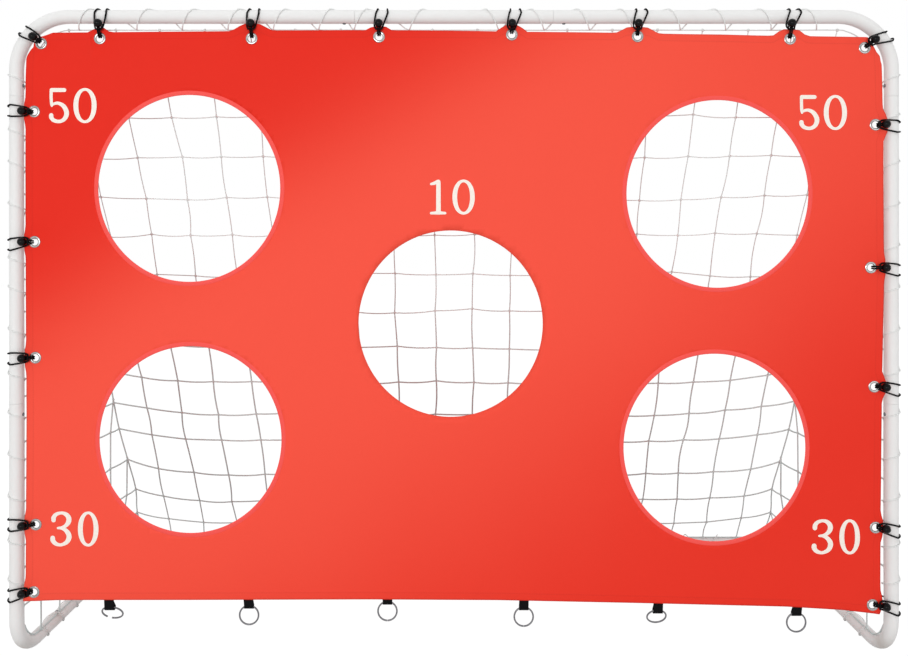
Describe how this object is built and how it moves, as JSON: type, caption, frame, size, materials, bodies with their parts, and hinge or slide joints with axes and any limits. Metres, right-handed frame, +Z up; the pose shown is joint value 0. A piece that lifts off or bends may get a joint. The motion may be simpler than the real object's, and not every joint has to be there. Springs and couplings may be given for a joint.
{
  "type": "target net goal",
  "caption": "Portable goal frame of white steel tube with a red target sheet with round holes, black ball bungees, peg rings and a white net behind.",
  "frame": {"origin": "on the ground, in the middle of the bounding box", "axes": "+X along the crossbar to the viewer's right, +Y from the target sheet to the rear ground tube, +Z up"},
  "size_m": [2.142, 0.7828, 1.57],
  "materials": {
    "powder_coat": "satin white powder coat",
    "target_fabric": "coated polyester, slight sheen",
    "binding_fabric": "bias tape",
    "nickel": "nickel plated",
    "spring_steel": "plain",
    "ring_steel": "zinc plated",
    "elastic": "braided cover",
    "ball_plastic": "semi gloss",
    "webbing": "woven",
    "twine": "knotted twine"
  },
  "bodies": {
    "frame": {"top_corner_left": "powder_coat", "top_corner_right": "powder_coat", "top_centre_tube": "powder_coat", "post_tube_left": "powder_coat", "post_tube_right": "powder_coat", "bottom_corner_left": "powder_coat", "bottom_corner_right": "powder_coat", "rear_corner_left": "powder_coat", "rear_corner_right": "powder_coat", "rear_centre_tube": "powder_coat", "snap_springs": "spring_steel", "target_sheet": "target_fabric", "hole_bindings": "binding_fabric", "grommets": "nickel", "bungee_cords_top": "elastic", "bungee_cords_left": "elastic", "bungee_cords_right": "elastic", "bungee_balls": "ball_plastic", "ring_straps": "webbing", "net_back": "twine", "net_side_left": "twine", "net_side_right": "twine", "lacing_top_left": "twine", "lacing_top_right": "twine", "lacing_post_left": "twine", "lacing_post_right": "twine"},
    "button_top_left": {"snap_button_top_left": "spring_steel"},
    "button_top_right": {"snap_button_top_right": "spring_steel"},
    "button_upper_left": {"snap_button_upper_left": "spring_steel"},
    "button_upper_right": {"snap_button_upper_right": "spring_steel"},
    "button_lower_left": {"snap_button_lower_left": "spring_steel"},
    "button_lower_right": {"snap_button_lower_right": "spring_steel"},
    "button_base_left": {"snap_button_base_left": "spring_steel"},
    "button_base_right": {"snap_button_base_right": "spring_steel"},
    "button_rear_left": {"snap_button_rear_left": "spring_steel"},
    "button_rear_right": {"snap_button_rear_right": "spring_steel"},
    "ring_1": {"peg_ring_1": "ring_steel"},
    "ring_2": {"peg_ring_2": "ring_steel"},
    "ring_3": {"peg_ring_3": "ring_steel"},
    "ring_4": {"peg_ring_4": "ring_steel"},
    "ring_5": {"peg_ring_5": "ring_steel"},
    "ring_6": {"peg_ring_6": "ring_steel"}
  },
  "joints": [
    {"name": "press_top_left", "type": "slide", "parent": "frame", "child": "button_top_left", "axis": [0, 0, 1], "range_m": [0, 0.0046], "stiffness_N_per_m": 800, "springref_m": -0.004, "deforming": ["snap_springs"]},
    {"name": "press_top_right", "type": "slide", "parent": "frame", "child": "button_top_right", "axis": [0, 0, 1], "range_m": [0, 0.0046], "stiffness_N_per_m": 800, "springref_m": -0.004, "deforming": ["snap_springs"]},
    {"name": "press_upper_left", "type": "slide", "parent": "frame", "child": "button_upper_left", "axis": [-1, 0, 0], "range_m": [0, 0.0046], "stiffness_N_per_m": 800, "springref_m": -0.004, "deforming": ["snap_springs"]},
    {"name": "press_upper_right", "type": "slide", "parent": "frame", "child": "button_upper_right", "axis": [1, 0, 0], "range_m": [0, 0.0046], "stiffness_N_per_m": 800, "springref_m": -0.004, "deforming": ["snap_springs"]},
    {"name": "press_lower_left", "type": "slide", "parent": "frame", "child": "button_lower_left", "axis": [-1, 0, 0], "range_m": [0, 0.0046], "stiffness_N_per_m": 800, "springref_m": -0.004, "deforming": ["snap_springs"]},
    {"name": "press_lower_right", "type": "slide", "parent": "frame", "child": "button_lower_right", "axis": [1, 0, 0], "range_m": [0, 0.0046], "stiffness_N_per_m": 800, "springref_m": -0.004, "deforming": ["snap_springs"]},
    {"name": "press_base_left", "type": "slide", "parent": "frame", "child": "button_base_left", "axis": [0, 0, -1], "range_m": [0, 0.0046], "stiffness_N_per_m": 800, "springref_m": -0.004, "deforming": ["snap_springs"]},
    {"name": "press_base_right", "type": "slide", "parent": "frame", "child": "button_base_right", "axis": [0, 0, -1], "range_m": [0, 0.0046], "stiffness_N_per_m": 800, "springref_m": -0.004, "deforming": ["snap_springs"]},
    {"name": "press_rear_left", "type": "slide", "parent": "frame", "child": "button_rear_left", "axis": [0, 0, -1], "range_m": [0, 0.0046], "stiffness_N_per_m": 800, "springref_m": -0.004, "deforming": ["snap_springs"]},
    {"name": "press_rear_right", "type": "slide", "parent": "frame", "child": "button_rear_right", "axis": [0, 0, -1], "range_m": [0, 0.0046], "stiffness_N_per_m": 800, "springref_m": -0.004, "deforming": ["snap_springs"]},
    {"name": "swing_ring_1", "type": "hinge", "parent": "frame", "child": "ring_1", "pos_m": [-0.82033, -0.36166, 0.137], "axis": [1, 0, 0], "range_deg": [-121, 49]},
    {"name": "swing_ring_2", "type": "hinge", "parent": "frame", "child": "ring_2", "pos_m": [-0.48875, -0.36166, 0.1405], "axis": [1, 0, 0], "range_deg": [-85, 85]},
    {"name": "swing_ring_3", "type": "hinge", "parent": "frame", "child": "ring_3", "pos_m": [-0.15869, -0.36166, 0.15], "axis": [1, 0, 0], "range_deg": [-85, 85]},
    {"name": "swing_ring_4", "type": "hinge", "parent": "frame", "child": "ring_4", "pos_m": [0.1663, -0.36166, 0.13662], "axis": [1, 0, 0], "range_deg": [-85, 85]},
    {"name": "swing_ring_5", "type": "hinge", "parent": "frame", "child": "ring_5", "pos_m": [0.48571, -0.36166, 0.12913], "axis": [1, 0, 0], "range_deg": [-115, 55]},
    {"name": "swing_ring_6", "type": "hinge", "parent": "frame", "child": "ring_6", "pos_m": [0.81627, -0.36166, 0.1231], "axis": [1, 0, 0], "range_deg": [-85, 85]}
  ]
}
